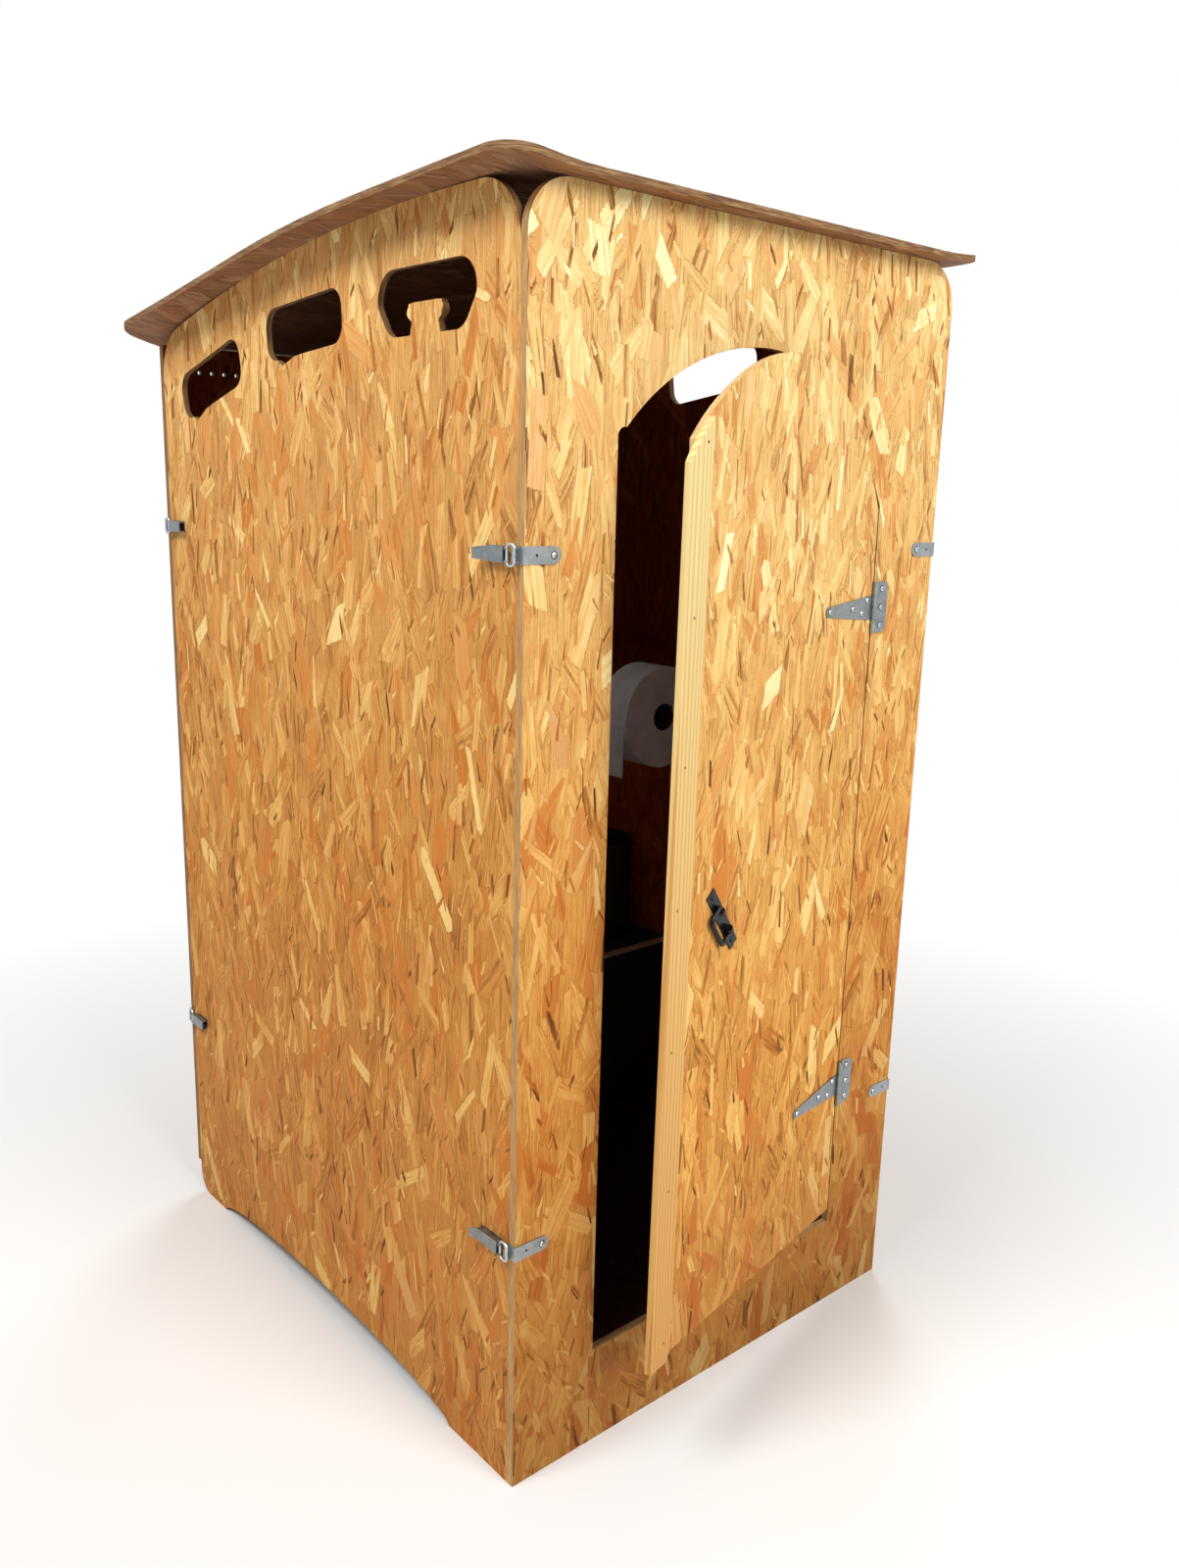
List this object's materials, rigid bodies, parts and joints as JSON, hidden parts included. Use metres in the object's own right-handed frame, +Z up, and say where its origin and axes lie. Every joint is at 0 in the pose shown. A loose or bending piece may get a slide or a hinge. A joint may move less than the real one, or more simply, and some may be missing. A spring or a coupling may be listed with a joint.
{
  "type": "dry toilet cabin",
  "caption": "Flat-pack dry toilet cabin of strand board with a bent roof sheet, arched door on T-hinges, vents under the eaves, toggle latches at the corners and a seat bench inside.",
  "frame": {"origin": "on the ground, at the centre of the part's box in plan with the door ajar as it rests", "axes": "+X to the right as seen from the front, -Y out of the front, +Z up"},
  "size_m": [1.102, 1.4282, 2.1013],
  "materials": {
    "strand_board": "oriented strand board, bare, long pressed flakes",
    "roof_board": "thin strand board, weathered brown",
    "pine": "planed pine, bare",
    "black_panel": "black film-faced board",
    "black_plastic": "matt black plastic",
    "paper": "soft white paper",
    "black_steel": "black painted steel",
    "zinc": "zinc plated steel"
  },
  "bodies": {
    "cabin": {"front_left_jamb": "strand_board", "front_right_jamb": "strand_board", "front_head": "strand_board", "front_sill": "strand_board", "left_wall": "strand_board", "left_vent_band": "strand_board", "right_wall": "strand_board", "right_front_vent_panel": "strand_board", "right_middle_vent_panel": "strand_board", "right_back_vent_panel": "strand_board", "back_wall": "strand_board", "roof_sheet": "roof_board", "floor_panel": "strand_board", "floor_bearers": "pine", "bench_front": "black_panel", "bench_top": "black_panel", "bench_lipping": "pine", "seat_ring": "black_plastic", "bucket": "black_plastic", "paper_roll": "paper", "paper_end": "paper", "roll_holder": "black_steel", "hinge_plates": "zinc", "latch_hooks": "zinc", "latch_bails": "zinc", "latch_levers": "zinc", "latch_bases": "zinc"},
    "door": {"door_panel": "strand_board", "door_strip": "pine", "hinge_straps": "zinc", "handle_plate": "black_steel", "handle_bow": "black_steel"}
  },
  "joints": [
    {"name": "door_hinge", "type": "hinge", "parent": "cabin", "child": "door", "pos_m": [0.3375, -0.57689, 0], "axis": [0, 0, 1], "range_deg": [-10.9, 148]}
  ]
}
